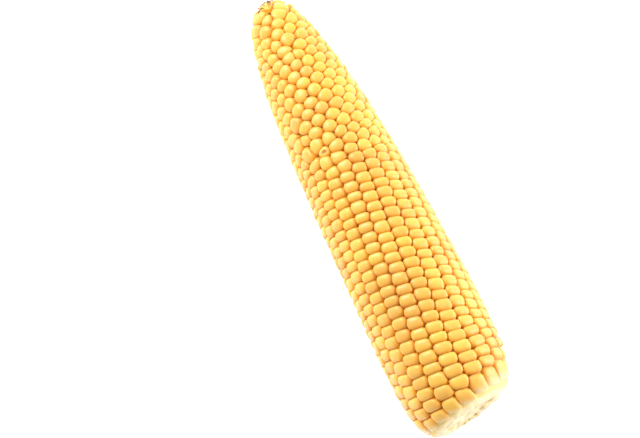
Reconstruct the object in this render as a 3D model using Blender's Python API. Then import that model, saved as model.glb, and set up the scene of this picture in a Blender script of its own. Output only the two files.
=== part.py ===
"""A husked ear of sweet corn lying on a table: a tapered cob core with twenty-two rows of kernels.

The ear is modelled straight, with its axis along +Y, the butt (where it was snapped off its stalk) at
y = 0 and the tip at y = LENGTH. An empty on that axis then pitches it until its lower side lies along
the table, and sets it down with the middle of its base at the world origin. Metres, +Z up.

Each row of kernels is one object. Inside a row the kernels stand pressed against each other, so they
are one strip with a groove at each joint, and a chamfered crown on every kernel.
"""

import math

import bmesh
import bpy
from mathutils import Vector

# The ear's outline at the kernels' crowns, from the butt's opening to the tip's: (along the axis, radius).
LENGTH = 0.210
OUTLINE_POINTS = (
    (0.0012, 0.0144),
    (0.0032, 0.0184),
    (0.0075, 0.0216),
    (0.0140, 0.0238),
    (0.0220, 0.0247),
    (0.0350, 0.0252),
    (0.0500, 0.0251),
    (0.0700, 0.0247),
    (0.0900, 0.0241),
    (0.1100, 0.0233),
    (0.1300, 0.0223),
    (0.1480, 0.0210),
    (0.1640, 0.0194),
    (0.1780, 0.0173),
    (0.1900, 0.0149),
    (0.1985, 0.0126),
    (0.2045, 0.0101),
    (0.2080, 0.0072),
    (0.2096, 0.0044),
    (0.2100, 0.0024),
)
BELLY_RADIUS = 0.0252
STEPS_PER_OUTLINE_POINT = 24

# How the ear departs from a straight round one: its ends slant and its middle bows, all towards +X.
BUTT_SLANT = 0.165
BUTT_SLANT_LENGTH = 0.060
TIP_SLANT = 0.140
TIP_SLANT_LENGTH = 0.050
BOW = 0.0014

# The kernels. They are longer at the butt, and a little longer at the tip.
ROWS = 22
KERNEL_PITCH = 0.00475
ROW_START = 0.005
BUTT_SWELL = 0.45
BUTT_SWELL_LENGTH = 0.022
TIP_SWELL = 0.06
TIP_SWELL_AT = 0.160
TIP_SWELL_LENGTH = 0.030
PAIR_VARIATION = 0.07
KERNEL_VARIATION = 0.06
KERNEL_DEPTH = 0.0092
DEPTH_POWER = 0.8
CROWN_HEIGHT = 0.0017
SHOULDER_SHARE = 0.25
ROW_GAP = 0.0004

# How pairs of rows are set off along the ear: this many kernels in one turn round it, and a row in a pair
# by this share of one. From SETTLE_AT the rows come level, over SETTLE_LENGTH.
SPIRAL = -3
ROW_OFFSET = 0.08
SETTLE_AT = 0.112
SETTLE_LENGTH = 0.028

# How the rows turn round the axis on their way from butt to tip. Near the butt they straighten.
TWIST_PER_METRE = math.radians(-280)
TWIST_AT = 0.0816
BUTT_TURN = math.radians(-5.3)
BUTT_TURN_LENGTH = 0.045

# How far the kernels lean away from square to the axis, and over what length of outline.
BUTT_LEAN = math.radians(34)
BUTT_LEAN_LENGTH = 0.024
TIP_LEAN = math.radians(48)
TIP_LEAN_LENGTH = 0.022

# Rows that begin late, and where. Where rows end, as a share of the outline's length: rows repeat this
# pattern round the ear.
LATE_ROWS = {1: 0.008, 4: 0.016, 17: 0.018, 20: 0.010}
LATE_FADE = 0.032
ROW_ENDS = (1.0, 0.862, 0.982, 0.682, 1.0, 0.931, 0.638, 0.985, 1.0, 0.899, 0.959)
ROW_END_VARIATION = 0.006
ROW_FADE = 0.016
NARROWEST_ROW = 0.0026

# The core, and the collar at its butt that the kernels stand behind.
CORE_GAP = 0.0005
CORE_SEGMENTS = 36
CORE_STATIONS = 26
COLLAR_END = 0.0044
STALK_RADIUS = 0.0110
STALK_END_AT = 0.0012
STALK_DISH = 0.0014

# How deep the kernels that carry the ear are pressed flat, and its pitch on the table.
PRESSED_FLAT = 0.0004
PITCH_DOWN = math.radians(2.4)
TABLE_SIZE = 0.4

KERNEL_YELLOW = (0.87, 0.55, 0.13, 1.0)
CORE_CREAM = (0.78, 0.72, 0.50, 1.0)


def clear_scene():
    """Removes what the scene starts with."""
    for obj in list(bpy.data.objects):
        bpy.data.objects.remove(obj, do_unlink=True)


def smooth_step(x):
    """0 below 0, 1 above 1, and a smooth ramp between them."""
    x = min(max(x, 0.0), 1.0)
    return x * x * (3 - 2 * x)


def jitter(row, place):
    """A repeatable number from -1 to 1 for one kernel or row."""
    value = math.sin(row * 12.9898 + place * 78.233 + 4.1) * 43758.5453
    return 2 * (value - math.floor(value)) - 1


def curve_through(points, steps):
    """Points of a smooth curve through these, steps to each stretch (Catmull-Rom)."""
    ends = [tuple(2 * a - b for a, b in zip(points[0], points[1]))]
    ends += [*points, tuple(2 * a - b for a, b in zip(points[-1], points[-2]))]
    curve = [points[0]]
    for p0, p1, p2, p3 in zip(ends, ends[1:], ends[2:], ends[3:]):
        for i in range(1, steps + 1):
            t = i / steps
            curve.append(
                tuple(
                    b
                    + (c - a) * t / 2
                    + (a - 2.5 * b + 2 * c - d / 2) * t**2
                    + (3 * b - a - 3 * c + d) * t**3 / 2
                    for a, b, c, d in zip(p0, p1, p2, p3)
                )
            )
    return curve


class Outline:
    """The crown outline from the butt's opening to the tip's, read by its own length."""

    def __init__(self):
        self.points = curve_through(OUTLINE_POINTS, STEPS_PER_OUTLINE_POINT)
        self.lengths = [0.0]
        for a, b in zip(self.points, self.points[1:]):
            self.lengths.append(self.lengths[-1] + math.dist(a, b))
        self.total = self.lengths[-1]

    def crown(self, s):
        """(y, radius) of the crown at length s along the outline."""
        s = min(max(s, 0.0), self.total)
        low, high = 0, len(self.lengths) - 1
        while high - low > 1:
            middle = (low + high) // 2
            if self.lengths[middle] <= s:
                low = middle
            else:
                high = middle
        share = (s - self.lengths[low]) / (self.lengths[high] - self.lengths[low])
        a, b = self.points[low], self.points[high]
        return a[0] + (b[0] - a[0]) * share, a[1] + (b[1] - a[1]) * share

    def lean(self, s):
        """The way a kernel points, as (y, radial) parts of a unit vector."""
        butt = BUTT_LEAN * (1 - smooth_step(s / BUTT_LEAN_LENGTH))
        tip = TIP_LEAN * (1 - smooth_step((self.total - s) / TIP_LEAN_LENGTH))
        return math.sin(tip - butt), math.cos(tip - butt)

    def depth(self, s):
        """The length of a kernel, crown to root."""
        return KERNEL_DEPTH * (self.crown(s)[1] / BELLY_RADIUS) ** DEPTH_POWER

    def below_crown(self, s, drop):
        """(y, radius) of a point inside a kernel, drop below its crown."""
        y, radius = self.crown(s)
        along, outward = self.lean(s)
        return y - drop * along, radius - drop * outward


def row_end(outline, row):
    """The outline length where a row stops."""
    share = ROW_ENDS[row % len(ROW_ENDS)]
    if share < 1:
        share += ROW_END_VARIATION * jitter(row, 91)
    return share * outline.total


def row_begin(row):
    """The outline length where a row begins."""
    return LATE_ROWS.get(row, ROW_START)


def row_weight(outline, row, s):
    """A row's share of the ear's girth, which fades in where it begins and out where it ends."""
    weight = 1.0
    if ROW_ENDS[row % len(ROW_ENDS)] < 1:
        weight = smooth_step((row_end(outline, row) - s) / ROW_FADE)
    if row in LATE_ROWS:
        weight *= smooth_step((s - row_begin(row)) / LATE_FADE)
    return weight


def row_edges(outline, row, s):
    """(low angle, high angle) of a row, round the axis from straight down."""
    weights = [row_weight(outline, i, s) for i in range(ROWS)]
    whole = sum(weights)
    before = sum(weights[:row])
    y = outline.crown(s)[0]
    turn = TWIST_PER_METRE * (y - TWIST_AT) + BUTT_TURN * (1 - smooth_step(y / BUTT_TURN_LENGTH))
    low = 2 * math.pi * before / whole + turn
    return low, low + 2 * math.pi * weights[row] / whole


def pitch(s):
    """The length of a kernel here, along the ear."""
    butt = BUTT_SWELL * (1 - smooth_step(s / BUTT_SWELL_LENGTH))
    tip = TIP_SWELL * smooth_step((s - TIP_SWELL_AT) / TIP_SWELL_LENGTH)
    return KERNEL_PITCH * (1 + butt + tip)


def courses(outline):
    """The outline lengths of the joints that all rows share before they are set off from each other."""
    found = [ROW_START]
    while found[-1] < outline.total + 2 * KERNEL_PITCH:
        found.append(found[-1] + pitch(found[-1]))
    return found


def row_shift(row, s):
    """How far a row's kernels are set off along the ear, in kernels: its pair's spiral and its own."""
    pairs = ROWS // 2
    turn = (SPIRAL * (row // 2 - pairs // 2) / pairs) % 1.0
    nearest = turn - 1 if turn > 0.5 else turn
    return (nearest + ROW_OFFSET * (row % 2)) * (1 - smooth_step((s - SETTLE_AT) / SETTLE_LENGTH))


def row_joints(outline, row):
    """The outline lengths of the joints between a row's kernels, from its beginning to its end."""
    end = row_end(outline, row)
    joints = [row_begin(row)]
    for place, s in enumerate(courses(outline)[1:], 1):
        step = pitch(s)
        uneven = PAIR_VARIATION * jitter(row // 2, place) + KERNEL_VARIATION * jitter(row, place + 50)
        joint = s + step * (row_shift(row, s) + uneven)
        if joint < joints[-1] + 0.75 * step:
            continue
        if joint + 0.6 * step > end:
            break
        low, high = row_edges(outline, row, joint)
        narrow = (high - low) * outline.crown(joint)[1] < NARROWEST_ROW
        if narrow and len(joints) > 1:
            break
        if narrow:
            joints[0] = joint
            continue
        joints.append(joint)
    if ROW_ENDS[row % len(ROW_ENDS)] == 1:
        joints.append(outline.total)
    return joints


def on_ear(y, radius, angle):
    """The point at this place along and round the axis. Angle 0 is straight down."""
    return Vector((radius * math.sin(angle), y, -radius * math.cos(angle)))


def make_crooked(shape):
    """Slants a straight shape's two ends and bows its middle."""
    for vertex in shape.verts:
        x, y, _ = vertex.co
        butt = BUTT_SLANT * (1 - smooth_step(y / BUTT_SLANT_LENGTH))
        tip = TIP_SLANT * (1 - smooth_step((LENGTH - y) / TIP_SLANT_LENGTH))
        vertex.co.y += x * (butt + tip)
        vertex.co.x += BOW * (1 - (2 * y / LENGTH - 1) ** 2)


def section(outline, row, s):
    """A row's corners at one joint: root low, root high, rim high, rim low."""
    low, high = row_edges(outline, row, s)
    root_y, root_radius = outline.below_crown(s, outline.depth(s))
    rim_y, rim_radius = outline.below_crown(s, crown_height(outline, s))
    root_gap = ROW_GAP / 2 / root_radius
    rim_gap = ROW_GAP / 2 / rim_radius
    return [
        on_ear(root_y, root_radius, low + root_gap),
        on_ear(root_y, root_radius, high - root_gap),
        on_ear(rim_y, rim_radius, high - rim_gap),
        on_ear(rim_y, rim_radius, low + rim_gap),
    ]


def crown_height(outline, s):
    """How far a kernel's crown stands above the groove round it."""
    return CROWN_HEIGHT * min(1.0, outline.depth(s) / KERNEL_DEPTH + 0.15)


def plain_material(name, colour, roughness):
    """A Principled material of one colour."""
    material = bpy.data.materials.new(name)
    material.use_nodes = True
    shader = material.node_tree.nodes["Principled BSDF"]
    shader.inputs["Base Color"].default_value = colour
    shader.inputs["Roughness"].default_value = roughness
    shader.inputs["Metallic"].default_value = 0.0
    return material


def add_object(name, mesh, material, axis):
    """A named object with its own material, riding on the ear's axis."""
    mesh.materials.append(material)
    obj = bpy.data.objects.new(name, mesh)
    bpy.context.collection.objects.link(obj)
    obj.parent = axis
    return obj


def kernel_row(outline, row, material, axis):
    """One row: a strip from root to rim, with a chamfered crown inset on every kernel."""
    joints = row_joints(outline, row)
    shape = bmesh.new()
    rings = [[shape.verts.new(point) for point in section(outline, row, s)] for s in joints]
    crowns = []
    for near, far in zip(rings, rings[1:]):
        shape.faces.new((near[0], near[1], far[1], far[0]))
        shape.faces.new((near[1], near[2], far[2], far[1]))
        crowns.append(shape.faces.new((near[2], near[3], far[3], far[2])))
        shape.faces.new((near[3], near[0], far[0], far[3]))
    shape.faces.new(reversed(rings[0]))
    shape.faces.new(rings[-1])
    bmesh.ops.recalc_face_normals(shape, faces=shape.faces)
    for crown, s in zip(crowns, joints):
        shortest = min(edge.calc_length() for edge in crown.edges)
        height = crown_height(outline, s)
        bmesh.ops.inset_individual(shape, faces=[crown], thickness=SHOULDER_SHARE * shortest, depth=height)
    make_crooked(shape)
    mesh = bpy.data.meshes.new(f"kernel_row_{row + 1:02d}")
    shape.to_mesh(mesh)
    shape.free()
    return add_object(mesh.name, mesh, material, axis)


def core_profile(outline):
    """The core's (y, radius) outline, from the dished stalk end on the axis round to the tip on the axis.

    The collar at the butt reaches out to the ear's own outline, and its back lies along the first kernels.
    """
    profile = [
        (STALK_END_AT + STALK_DISH, 0.0),
        (STALK_END_AT + 0.7 * STALK_DISH, 0.5 * STALK_RADIUS),
        (STALK_END_AT, STALK_RADIUS),
        outline.crown(0.0),
        outline.crown(0.5 * COLLAR_END),
        outline.crown(COLLAR_END),
    ]
    start = COLLAR_END
    for i in range(CORE_STATIONS + 1):
        s = start + (outline.total - start) * (1 - math.cos(math.pi * i / CORE_STATIONS)) / 2
        y, radius = outline.below_crown(s, outline.depth(s) + CORE_GAP)
        spans = [high - low for low, high in (row_edges(outline, row, s) for row in range(ROWS))]
        profile.append((y, radius * math.cos(max(spans) / 2) - CORE_GAP / 2))
    y, radius = profile[-1]
    profile.append((y + 0.5 * radius, 0.7 * radius))
    profile.append((y + 0.7 * radius, 0.0))
    return profile


def cob_core(outline, material, axis):
    """The core: its outline spun round the ear's axis."""
    shape = bmesh.new()
    points = [shape.verts.new(on_ear(y, radius, 0.0)) for y, radius in core_profile(outline)]
    edges = [shape.edges.new(pair) for pair in zip(points, points[1:])]
    bmesh.ops.spin(
        shape,
        geom=points + edges,
        cent=(0, 0, 0),
        axis=(0, 1, 0),
        angle=2 * math.pi,
        steps=CORE_SEGMENTS,
        use_merge=True,
    )
    bmesh.ops.remove_doubles(shape, verts=shape.verts, dist=1e-6)
    bmesh.ops.recalc_face_normals(shape, faces=shape.faces)
    make_crooked(shape)
    mesh = bpy.data.meshes.new("cob_core")
    shape.to_mesh(mesh)
    shape.free()
    mesh.shade_smooth()
    mesh.set_sharp_from_angle(angle=math.radians(50))
    return add_object(mesh.name, mesh, material, axis)


def world_corners(objects):
    """The lowest and highest corner of these objects' vertices in world space."""
    bpy.context.view_layer.update()
    points = [obj.matrix_world @ vertex.co for obj in objects for vertex in obj.data.vertices]
    low = Vector([min(point[k] for point in points) for k in range(3)])
    high = Vector([max(point[k] for point in points) for k in range(3)])
    return low, high


def set_down(axis, objects):
    """Lays the ear on the table with the middle of its base at the origin, sunk in by the pressed depth."""
    axis.rotation_euler = (-PITCH_DOWN, 0, 0)
    low, high = world_corners(objects)
    axis.location = (-(low.x + high.x) / 2, -(low.y + high.y) / 2, -low.z - PRESSED_FLAT)


def press_flat(objects):
    """Cuts the ear's lowest crowns off level with the table, as its weight presses them flat."""
    bpy.ops.mesh.primitive_cube_add(size=TABLE_SIZE, location=(0, 0, -TABLE_SIZE / 2))
    table = bpy.context.active_object
    table.name = "table_cutter"
    table.hide_render = True
    table.display_type = "WIRE"
    bpy.context.view_layer.update()
    for obj in objects:
        if world_corners([obj])[0].z < 0:
            cut = obj.modifiers.new("pressed_flat", "BOOLEAN")
            cut.operation = "DIFFERENCE"
            cut.object = table


def main():
    """Builds the ear."""
    clear_scene()
    outline = Outline()
    axis = bpy.data.objects.new("ear_axis", None)
    bpy.context.collection.objects.link(axis)
    core = cob_core(outline, plain_material("cob_pith", CORE_CREAM, 0.8), axis)
    kernels = plain_material("kernel_skin", KERNEL_YELLOW, 0.35)
    rows = [kernel_row(outline, row, kernels, axis) for row in range(ROWS)]
    set_down(axis, [core, *rows])
    press_flat(rows)


main()
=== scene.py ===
"""A husked ear of sweet corn on a white table: its kernels, its core, and what husking left on it.

Every kernel is its own closed shape. Python lays the kernels out in their rows and works out the room each
one has between its neighbours; a Geometry Nodes tree then raises each outline from its root on the core to
its domed crown. Everything is in metres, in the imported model's frame.
"""

import logging
import math
import sys
from dataclasses import dataclass, field
from enum import Enum
from typing import Any, Iterable, Sequence

import bmesh
import bpy
import numpy as np
from mathutils import Euler, Matrix, Vector, noise

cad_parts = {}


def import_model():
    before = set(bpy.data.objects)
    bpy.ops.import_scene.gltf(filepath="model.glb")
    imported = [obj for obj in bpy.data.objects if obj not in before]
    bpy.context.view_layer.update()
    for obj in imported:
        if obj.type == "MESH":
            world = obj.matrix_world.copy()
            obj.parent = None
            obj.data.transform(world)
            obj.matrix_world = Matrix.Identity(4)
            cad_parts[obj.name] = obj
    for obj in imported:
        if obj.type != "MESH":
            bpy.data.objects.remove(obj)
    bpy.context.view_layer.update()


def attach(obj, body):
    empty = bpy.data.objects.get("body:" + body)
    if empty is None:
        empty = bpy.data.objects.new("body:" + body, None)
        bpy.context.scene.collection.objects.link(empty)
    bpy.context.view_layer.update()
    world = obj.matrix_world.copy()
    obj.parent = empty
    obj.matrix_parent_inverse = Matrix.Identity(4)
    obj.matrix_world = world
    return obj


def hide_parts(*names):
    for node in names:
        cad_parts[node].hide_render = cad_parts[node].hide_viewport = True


LOG = logging.getLogger("sweet_corn")
MM = 0.001

Tree = bpy.types.NodeTree
Node = bpy.types.Node
Object = bpy.types.Object
Mesh = bpy.types.Mesh
Material = bpy.types.Material
Outline = list[tuple[float, float]]


# ---------------------------------------------------------------------------------------------------------
# Small helpers


def colour(code: str) -> tuple[float, float, float, float]:
    """Turns an sRGB hex colour into the linear colour that shaders take.

    Args:
        code: Six hex digits after a #.

    Returns:
        Linear red, green and blue, and an alpha of 1.
    """
    channels = [int(code.lstrip("#")[i : i + 2], 16) / 255 for i in (0, 2, 4)]
    linear = [c / 12.92 if c <= 0.04045 else ((c + 0.055) / 1.055) ** 2.4 for c in channels]
    return linear[0], linear[1], linear[2], 1.0


def smooth_step(x: float) -> float:
    """0 below 0, 1 above 1, and a smooth ramp between them."""
    x = min(max(x, 0.0), 1.0)
    return x * x * (3 - 2 * x)


def jitter(row: float, place: float) -> float:
    """A repeatable number from -1 to 1 for one kernel or row."""
    value = math.sin(row * 12.9898 + place * 78.233 + 4.1) * 43758.5453
    return 2 * (value - math.floor(value)) - 1


def add_node(
    tree: Tree,
    kind: str,
    inputs: dict[Any, Any] | None = None,
    **settings: Any,
) -> Node:
    """Adds a node, with its settings, its input values and the links into it.

    Args:
        tree: The node tree.
        kind: The node's type, such as "ShaderNodeMix".
        inputs: By input name or index, a value, a socket that feeds it, or a node whose first output does.
        **settings: The node's own properties.

    Returns:
        The new node.
    """
    node = tree.nodes.new(kind)
    for name, value in settings.items():
        setattr(node, name, value)
    for name, value in (inputs or {}).items():
        source = value.outputs[0] if isinstance(value, Node) else value
        if isinstance(source, bpy.types.NodeSocket):
            tree.links.new(source, node.inputs[name])
        else:
            node.inputs[name].default_value = source
    return node


def empty_material(name: str) -> tuple[Material, Tree]:
    """A new material and its tree, which holds no nodes yet."""
    material = bpy.data.materials.new(name)
    material.use_nodes = True
    material.node_tree.nodes.clear()
    return material, material.node_tree


def mesh_object(name: str, mesh: Mesh) -> Object:
    """Puts a mesh in the scene as an object at the origin."""
    obj = bpy.data.objects.new(name, mesh)
    bpy.context.scene.collection.objects.link(obj)
    return obj


def plain_mesh(obj: Object) -> Object:
    """Swaps an object's mesh for what its modifiers make of it, and takes the modifiers off."""
    bpy.context.view_layer.update()
    evaluated = obj.evaluated_get(bpy.context.evaluated_depsgraph_get())
    made = bpy.data.meshes.new_from_object(evaluated)
    made.name = obj.name
    obj.modifiers.clear()
    obj.data = made
    return obj


# ---------------------------------------------------------------------------------------------------------
# The ear's shape


@dataclass(frozen=True)
class EarShape:
    """The ear's outline and the rule its rows follow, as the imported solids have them."""

    length: float = 0.210
    outline_points: tuple[tuple[float, float], ...] = (
        (0.0012, 0.0144), (0.0032, 0.0184), (0.0075, 0.0216), (0.0140, 0.0238), (0.0220, 0.0247),
        (0.0350, 0.0252), (0.0500, 0.0251), (0.0700, 0.0247), (0.0900, 0.0241), (0.1100, 0.0233),
        (0.1300, 0.0223), (0.1480, 0.0210), (0.1640, 0.0194), (0.1780, 0.0173), (0.1900, 0.0149),
        (0.1985, 0.0126), (0.2045, 0.0101), (0.2080, 0.0072), (0.2096, 0.0044), (0.2100, 0.0024),
    )
    belly_radius: float = 0.0252
    butt_slant: float = 0.165
    butt_slant_length: float = 0.060
    tip_slant: float = 0.140
    tip_slant_length: float = 0.050
    bow: float = 0.0014

    rows: int = 22
    kernel_pitch: float = 0.00475
    row_start: float = 0.005
    butt_swell: float = 0.45
    butt_swell_length: float = 0.022
    tip_swell: float = 0.06
    tip_swell_at: float = 0.160
    tip_swell_length: float = 0.030
    spiral: int = -3
    row_offset: float = 0.08
    settle_at: float = 0.112
    settle_length: float = 0.028
    pair_variation: float = 0.07
    kernel_variation: float = 0.06
    kernel_depth: float = 0.0092
    depth_power: float = 0.8

    twist_per_metre: float = math.radians(-280)
    twist_at: float = 0.0816
    butt_turn: float = math.radians(-5.3)
    butt_turn_length: float = 0.045

    butt_lean: float = math.radians(34)
    butt_lean_length: float = 0.024
    tip_lean: float = math.radians(48)
    tip_lean_length: float = 0.022

    late_rows: tuple[tuple[int, float], ...] = ((1, 0.008), (4, 0.016), (17, 0.018), (20, 0.010))
    late_fade: float = 0.032
    row_ends: tuple[float, ...] = (1.0, 0.862, 0.982, 0.682, 1.0, 0.931, 0.638, 0.985, 1.0, 0.899, 0.959)
    row_end_variation: float = 0.006
    row_fade: float = 0.016
    narrowest_row: float = 0.0026

    collar_end: float = 0.0044
    pitch_down: float = math.radians(2.4)
    seat: tuple[float, float, float] = (-0.000870, -0.104578, 0.027392)

    def __post_init__(self) -> None:
        """Works out the outline's points and their distances along it."""
        points = self._curve(24)
        steps = np.hypot(*np.diff(points, axis=0).T)
        object.__setattr__(self, "_points", points)
        object.__setattr__(self, "_lengths", np.concatenate([[0.0], np.cumsum(steps)]))
        matrix = Matrix.Translation(self.seat) @ Euler((-self.pitch_down, 0, 0)).to_matrix().to_4x4()
        object.__setattr__(self, "_matrix", matrix)

    def _curve(self, steps: int) -> np.ndarray:
        """Points of a smooth curve through the outline's points (Catmull-Rom), steps to each stretch."""
        points = np.array(self.outline_points)
        ends = np.vstack([2 * points[0] - points[1], points, 2 * points[-1] - points[-2]])
        curve = [points[0]]
        for a, b, c, d in zip(ends, ends[1:], ends[2:], ends[3:]):
            for i in range(1, steps + 1):
                t = i / steps
                bend, swing = a - 2.5 * b + 2 * c - d / 2, 3 * b - a - 3 * c + d
                curve.append(b + (c - a) * t / 2 + bend * t**2 + swing * t**3 / 2)
        return np.array(curve)

    @property
    def total(self) -> float:
        """The outline's length from the butt's opening to the tip's."""
        return float(self._lengths[-1])

    def crown(self, s: float) -> tuple[float, float]:
        """(y, radius) of the crown at length s along the outline."""
        y = np.interp(s, self._lengths, self._points[:, 0])
        radius = np.interp(s, self._lengths, self._points[:, 1])
        return float(y), float(radius)

    def lean(self, s: float) -> tuple[float, float]:
        """The way a kernel points, as (y, radial) parts of a unit vector."""
        butt = self.butt_lean * (1 - smooth_step(s / self.butt_lean_length))
        tip = self.tip_lean * (1 - smooth_step((self.total - s) / self.tip_lean_length))
        return math.sin(tip - butt), math.cos(tip - butt)

    def depth(self, s: float) -> float:
        """The length of a kernel, crown to root."""
        return self.kernel_depth * (self.crown(s)[1] / self.belly_radius) ** self.depth_power

    def below_crown(self, s: float, drop: float) -> tuple[float, float]:
        """(y, radius) of a point inside a kernel, drop below its crown."""
        y, radius = self.crown(s)
        along, outward = self.lean(s)
        return y - drop * along, radius - drop * outward

    def place(self, y: float, radius: float, angle: float) -> Vector:
        """The point in the model's frame at this place along and round the ear. Angle 0 is straight down."""
        x, z = radius * math.sin(angle), -radius * math.cos(angle)
        butt = self.butt_slant * (1 - smooth_step(y / self.butt_slant_length))
        tip = self.tip_slant * (1 - smooth_step((self.length - y) / self.tip_slant_length))
        bow = self.bow * (1 - (2 * y / self.length - 1) ** 2)
        return self._matrix @ Vector((x + bow, y + x * (butt + tip), z))

    def on_ear(self, s: float, angle: float, drop: float) -> Vector:
        """The point in the model's frame at length s, this angle, and drop below the crown."""
        y, radius = self.below_crown(s, drop)
        return self.place(y, max(radius, 1e-5), angle)

    def ends_early(self, row: int) -> bool:
        """Whether a row stops short of the tip."""
        return self.row_ends[row % len(self.row_ends)] < 1

    def row_end(self, row: int) -> float:
        """The outline length where a row stops."""
        share = self.row_ends[row % len(self.row_ends)]
        if share < 1:
            share += self.row_end_variation * jitter(row, 91)
        return share * self.total

    def row_begin(self, row: int) -> float:
        """The outline length where a row begins."""
        return dict(self.late_rows).get(row, self.row_start)

    def row_weight(self, row: int, s: float) -> float:
        """A row's share of the ear's girth, which fades in where it begins and out where it ends."""
        weight = 1.0
        if self.ends_early(row):
            weight = smooth_step((self.row_end(row) - s) / self.row_fade)
        if row in dict(self.late_rows):
            weight *= smooth_step((s - self.row_begin(row)) / self.late_fade)
        return weight

    def row_edges(self, row: int, s: float) -> tuple[float, float]:
        """(low angle, high angle) of a row, round the axis from straight down."""
        weights = [self.row_weight(i, s) for i in range(self.rows)]
        whole = sum(weights)
        before = sum(weights[:row])
        y = self.crown(s)[0]
        turn = self.twist_per_metre * (y - self.twist_at)
        turn += self.butt_turn * (1 - smooth_step(y / self.butt_turn_length))
        low = 2 * math.pi * before / whole + turn
        return low, low + 2 * math.pi * weights[row] / whole

    def pitch(self, s: float) -> float:
        """The length of a kernel here, along the ear: longer at the butt and a little at the tip."""
        butt = self.butt_swell * (1 - smooth_step(s / self.butt_swell_length))
        tip = self.tip_swell * smooth_step((s - self.tip_swell_at) / self.tip_swell_length)
        return self.kernel_pitch * (1 + butt + tip)

    def courses(self) -> list[float]:
        """The outline lengths of the joints that all rows share before they are set off from each other."""
        courses = [self.row_start]
        while courses[-1] < self.total + 2 * self.kernel_pitch:
            courses.append(courses[-1] + self.pitch(courses[-1]))
        return courses

    def settled(self, s: float) -> float:
        """0 where pairs of rows are set off from each other, 1 towards the tip where kernels nest."""
        return smooth_step((s - self.settle_at) / self.settle_length)

    def row_shift(self, row: int, s: float) -> float:
        """How far a row's kernels are set off along the ear, in kernels: its pair's spiral and its own."""
        pairs = self.rows // 2
        turn = (self.spiral * (row // 2 - pairs // 2) / pairs) % 1.0
        nearest = turn - 1 if turn > 0.5 else turn
        return (nearest + self.row_offset * (row % 2)) * (1 - self.settled(s))

    def row_joints(self, row: int) -> list[float]:
        """The outline lengths of the joints between a row's kernels, from its beginning to its end."""
        begin, end = self.row_begin(row), self.row_end(row)
        joints = [begin]
        for place, s in enumerate(self.courses()[1:], 1):
            pitch = self.pitch(s)
            uneven = self.pair_variation * jitter(row // 2, place)
            uneven += self.kernel_variation * jitter(row, place + 50)
            joint = s + pitch * (self.row_shift(row, s) + uneven)
            if joint < joints[-1] + 0.75 * pitch:
                continue
            if joint + 0.6 * pitch > end:
                break
            low, high = self.row_edges(row, joint)
            narrow = (high - low) * self.crown(joint)[1] < self.narrowest_row
            if narrow and len(joints) > 1:
                break
            if narrow:
                joints[0] = joint
                continue
            joints.append(joint)
        if not self.ends_early(row):
            joints.append(self.total)
        return joints


# ---------------------------------------------------------------------------------------------------------
# Kernels


class KernelForm(Enum):
    """What became of a kernel."""

    PLUMP = "plump"
    STUNTED = "stunted"


@dataclass
class Kernel:
    """One kernel: where it stands, how it is turned, and the outline of its shoulder."""

    row: int
    place: int
    last: bool
    s: float
    length: float
    width: float
    roundness: float
    shoulder: Vector
    outward: Vector
    across: Vector
    along: Vector
    depth: float
    dome: float
    form: KernelForm = KernelForm.PLUMP
    outline: Outline = field(default_factory=list)
    crown_outline: Outline = field(default_factory=list)


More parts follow.
